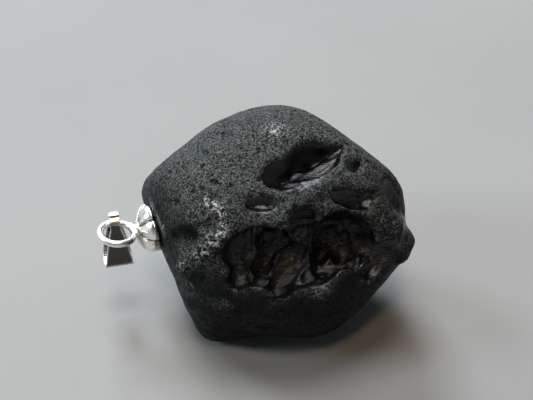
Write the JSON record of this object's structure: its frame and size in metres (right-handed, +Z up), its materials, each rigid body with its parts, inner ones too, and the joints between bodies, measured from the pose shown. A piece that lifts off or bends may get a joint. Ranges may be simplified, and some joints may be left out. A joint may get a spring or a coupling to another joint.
{
  "type": "tektite pendant",
  "caption": "Lump of natural black glass with a finely pitted skin and deep glossy gouges, hung as a pendant from a silver petal cap with a ring and a folded swinging bail.",
  "frame": {"origin": "on the small flat spot that the stone rests on, under the stone's middle", "axes": "+X along the stone's length, away from the cap; +Y to the back; +Z up"},
  "size_m": [0.0348, 0.0263, 0.0249],
  "materials": {
    "stone": "matte pitted skin, glossy inside the gouges",
    "silver": "polished silver"
  },
  "bodies": {
    "pendant": {"stone": "stone", "cap": "silver"},
    "bail": {"bail": "silver"}
  },
  "joints": [
    {"name": "bail_swing", "type": "hinge", "parent": "pendant", "child": "bail", "pos_m": [-0.01817, 0.00034, 0.01157], "axis": [0.9744, 0.225, 0], "range_deg": [-55, 225]}
  ]
}
